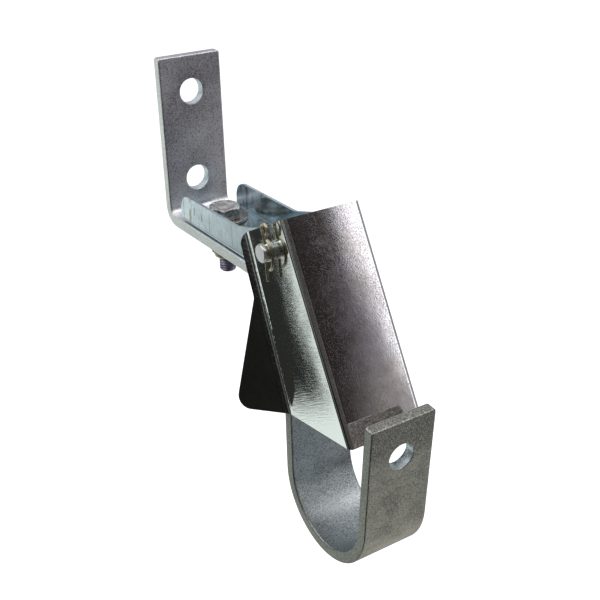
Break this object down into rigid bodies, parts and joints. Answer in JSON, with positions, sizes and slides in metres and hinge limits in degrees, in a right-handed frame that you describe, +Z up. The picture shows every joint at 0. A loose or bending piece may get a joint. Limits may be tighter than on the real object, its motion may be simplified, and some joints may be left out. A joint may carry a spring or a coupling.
{
  "type": "spring-gate hook bracket",
  "caption": "Flat bar bent into a wall leg, an arm and a J hook, with a bolted channel that holds a sprung sheet-metal gate over the hook's mouth.",
  "frame": {"origin": "on the back face of the wall leg, midway between its two holes", "axes": "+Z up along the wall leg, +Y into the wall (the hook stands out towards -Y), +X along the pivot pin"},
  "size_m": [0.0788, 0.2031, 0.2336],
  "materials": {
    "bar_zinc": "zinc plated heavy bar, grainy satin",
    "channel_zinc": "bright blue zinc plated sheet",
    "gate_zinc": "glossy zinc plated sheet, mottled",
    "fastener_zinc": "zinc plated fastener",
    "nut_zinc": "yellow passivated zinc",
    "clip_wire": "yellow passivated wire",
    "spring_wire": "drawn spring wire",
    "nut_nylon": "moulded nylon ring"
  },
  "bodies": {
    "bracket": {"hook_bar": "bar_zinc", "pivot_channel": "channel_zinc", "arm_bolt": "fastener_zinc", "head_washer": "fastener_zinc", "nut_washer": "fastener_zinc", "lock_nut": "nut_zinc", "nut_insert": "nut_nylon", "clevis_pin": "fastener_zinc", "hairpin_clip": "clip_wire"},
    "gate": {"gate": "gate_zinc", "torsion_spring": "spring_wire"}
  },
  "joints": [
    {"name": "gate_swing", "type": "hinge", "parent": "bracket", "child": "gate", "pos_m": [0, -0.126, -0.0257], "axis": [1, 0, 0], "range_deg": [0, 33], "stiffness_Nm_per_rad": 0.25, "springref_deg": -68.75}
  ]
}
